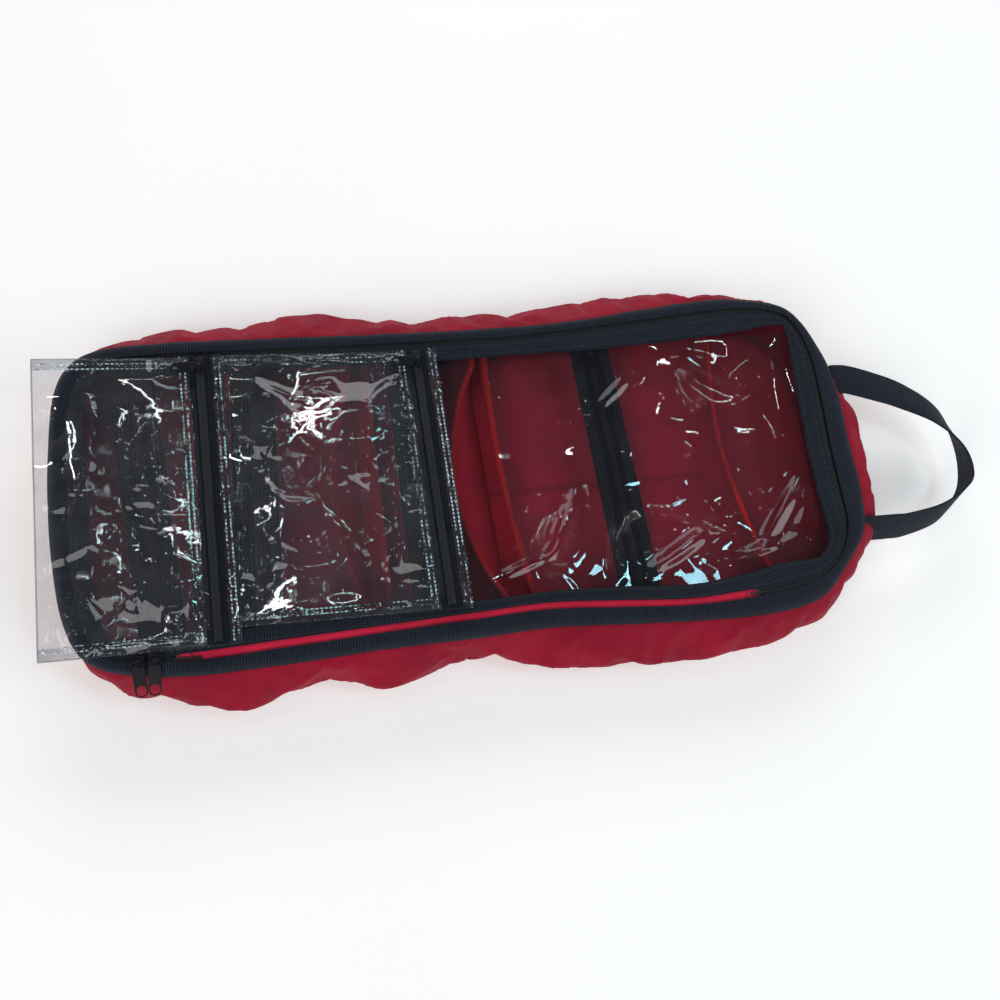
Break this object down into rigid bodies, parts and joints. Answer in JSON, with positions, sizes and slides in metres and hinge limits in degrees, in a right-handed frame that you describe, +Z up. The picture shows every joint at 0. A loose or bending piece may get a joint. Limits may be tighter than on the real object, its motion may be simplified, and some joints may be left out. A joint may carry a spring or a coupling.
{
  "type": "soft first aid organiser bag",
  "caption": "Long shallow soft bag with a clear zip-round lid, sewn zip cells inside, loose clear zip pouches on top and a webbing carry handle.",
  "frame": {"origin": "centre of the bag's flat underside", "axes": "+X along the bag towards the carry handle, +Y from the lid's hinge side to its opening side, +Z up"},
  "size_m": [0.7381, 0.3056, 0.0761],
  "materials": {
    "red_nylon": "woven coated nylon, slight sheen",
    "red_lining": "thin woven nylon with bound edges",
    "black_webbing": "ribbed woven webbing",
    "black_zip": "woven zip tape with nylon coil",
    "black_metal": "satin black",
    "clear_vinyl": "clear glossy sheet"
  },
  "bodies": {
    "tray": {"base_panel": "red_nylon", "front_gusset": "red_nylon", "rear_gusset": "red_nylon", "left_gusset": "red_nylon", "right_gusset": "red_nylon", "body_band": "black_webbing", "body_zip_tape": "black_zip", "hinge_strip": "red_nylon", "cell_1_right_wall": "red_lining", "cell_2_left_wall": "red_lining", "cell_2_right_wall": "red_lining", "cell_3_left_wall": "red_lining", "cell_3_right_wall": "red_lining", "cell_4_left_wall": "red_lining", "cell_4_right_wall": "red_lining", "cell_1_left_cover": "clear_vinyl", "cell_1_right_cover": "clear_vinyl", "cell_2_left_cover": "clear_vinyl", "cell_2_right_cover": "clear_vinyl", "cell_3_left_cover": "clear_vinyl", "cell_3_right_cover": "clear_vinyl", "cell_4_left_cover": "clear_vinyl", "cell_4_right_cover": "clear_vinyl", "end_pocket_cover": "clear_vinyl", "inner_zip_1": "black_zip", "inner_zip_2": "black_zip", "inner_zip_3": "black_zip", "inner_zip_4": "black_zip"},
    "lid": {"lid_window": "clear_vinyl", "lid_band": "black_webbing", "lid_zip_tape": "black_zip"},
    "main_slider_1": {"main_slider_1": "black_metal"},
    "main_pull_1": {"main_pull_1": "black_metal"},
    "main_slider_2": {"main_slider_2": "black_metal"},
    "main_pull_2": {"main_pull_2": "black_metal"},
    "inner_slider_1": {"inner_slider_1": "black_metal"},
    "inner_pull_1": {"inner_pull_1": "black_metal"},
    "inner_slider_2": {"inner_slider_2": "black_metal"},
    "inner_pull_2": {"inner_pull_2": "black_metal"},
    "inner_slider_3": {"inner_slider_3": "black_metal"},
    "inner_pull_3": {"inner_pull_3": "black_metal"},
    "inner_slider_4": {"inner_slider_4": "black_metal"},
    "inner_pull_4": {"inner_pull_4": "black_metal"},
    "pouch_1": {"pouch_1_back": "clear_vinyl", "pouch_1_front": "clear_vinyl", "pouch_1_edge_strip": "clear_vinyl", "pouch_1_zip": "black_zip"},
    "pouch_1_slider": {"pouch_1_slider": "black_metal"},
    "pouch_1_pull": {"pouch_1_pull": "black_metal"},
    "pouch_2": {"pouch_2_back": "clear_vinyl", "pouch_2_front": "clear_vinyl", "pouch_2_edge_strip": "clear_vinyl", "pouch_2_zip": "black_zip"},
    "pouch_2_slider": {"pouch_2_slider": "black_metal"},
    "pouch_2_pull": {"pouch_2_pull": "black_metal"},
    "handle": {"carry_handle": "black_webbing"}
  },
  "joints": [
    {"name": "lid_hinge", "type": "hinge", "parent": "tray", "child": "lid", "pos_m": [0, -0.109, 0.06], "axis": [1, 0, 0], "range_deg": [0, 110]},
    {"name": "main_slider_1_slide", "type": "slide", "parent": "tray", "child": "main_slider_1", "axis": [1, 0, 0], "range_m": [-0.006, 0]},
    {"name": "main_pull_1_swing", "type": "hinge", "parent": "main_slider_1", "child": "main_pull_1", "pos_m": [-0.2495, -0.1085, 0.0645], "axis": [1, 0, 0], "range_deg": [-105, 0]},
    {"name": "main_slider_2_slide", "type": "slide", "parent": "tray", "child": "main_slider_2", "axis": [1, 0, 0], "range_m": [0, 0.026]},
    {"name": "main_pull_2_swing", "type": "hinge", "parent": "main_slider_2", "child": "main_pull_2", "pos_m": [-0.238, -0.1085, 0.0645], "axis": [1, 0, 0], "range_deg": [-105, 0]},
    {"name": "inner_slider_1_slide", "type": "slide", "parent": "tray", "child": "inner_slider_1", "axis": [0.0649, -0.9979, 0], "range_m": [0, 0.19]},
    {"name": "inner_pull_1_swing", "type": "hinge", "parent": "inner_slider_1", "child": "inner_pull_1", "pos_m": [-0.24848, 0.092, 0.0409], "axis": [-0.0649, 0.9979, 0], "range_deg": [0, 180]},
    {"name": "inner_slider_2_slide", "type": "slide", "parent": "tray", "child": "inner_slider_2", "axis": [-0.04, -0.9992, 0], "range_m": [0, 0.19]},
    {"name": "inner_pull_2_swing", "type": "hinge", "parent": "inner_slider_2", "child": "inner_pull_2", "pos_m": [-0.16132, 0.092, 0.0409], "axis": [0.04, 0.9992, 0], "range_deg": [0, 180]},
    {"name": "inner_slider_3_slide", "type": "slide", "parent": "tray", "child": "inner_slider_3", "axis": [0.01, -0.9999, 0], "range_m": [0, 0.19]},
    {"name": "inner_pull_3_swing", "type": "hinge", "parent": "inner_slider_3", "child": "inner_pull_3", "pos_m": [-0.04192, 0.092, 0.0409], "axis": [-0.01, 0.9999, 0], "range_deg": [0, 180]},
    {"name": "inner_slider_4_slide", "type": "slide", "parent": "tray", "child": "inner_slider_4", "axis": [0.0549, -0.9985, 0], "range_m": [0, 0.19]},
    {"name": "inner_pull_4_swing", "type": "hinge", "parent": "inner_slider_4", "child": "inner_pull_4", "pos_m": [0.11044, 0.092, 0.0409], "axis": [-0.0549, 0.9985, 0], "range_deg": [0, 180]},
    {"name": "pouch_1_lift", "type": "slide", "parent": "lid", "child": "pouch_1", "axis": [0, 0, 1], "range_m": [0, 0.25]},
    {"name": "pouch_1_slider_slide", "type": "slide", "parent": "pouch_1", "child": "pouch_1_slider", "axis": [0, -1, 0], "range_m": [0, 0.183]},
    {"name": "pouch_1_pull_swing", "type": "hinge", "parent": "pouch_1_slider", "child": "pouch_1_pull", "pos_m": [-0.1965, 0.0965, 0.0747], "axis": [0, 1, 0], "range_deg": [0, 180]},
    {"name": "pouch_2_lift", "type": "slide", "parent": "lid", "child": "pouch_2", "axis": [0, 0, 1], "range_m": [0, 0.25]},
    {"name": "pouch_2_slider_slide", "type": "slide", "parent": "pouch_2", "child": "pouch_2_slider", "axis": [0, -1, 0], "range_m": [0, 0.173]},
    {"name": "pouch_2_pull_swing", "type": "hinge", "parent": "pouch_2_slider", "child": "pouch_2_pull", "pos_m": [-0.035, 0.0905, 0.0747], "axis": [0, 1, 0], "range_deg": [0, 180]},
    {"name": "handle_swing", "type": "hinge", "parent": "tray", "child": "handle", "pos_m": [0.31, 0, 0.05], "axis": [0, -1, 0], "range_deg": [0, 110]}
  ]
}
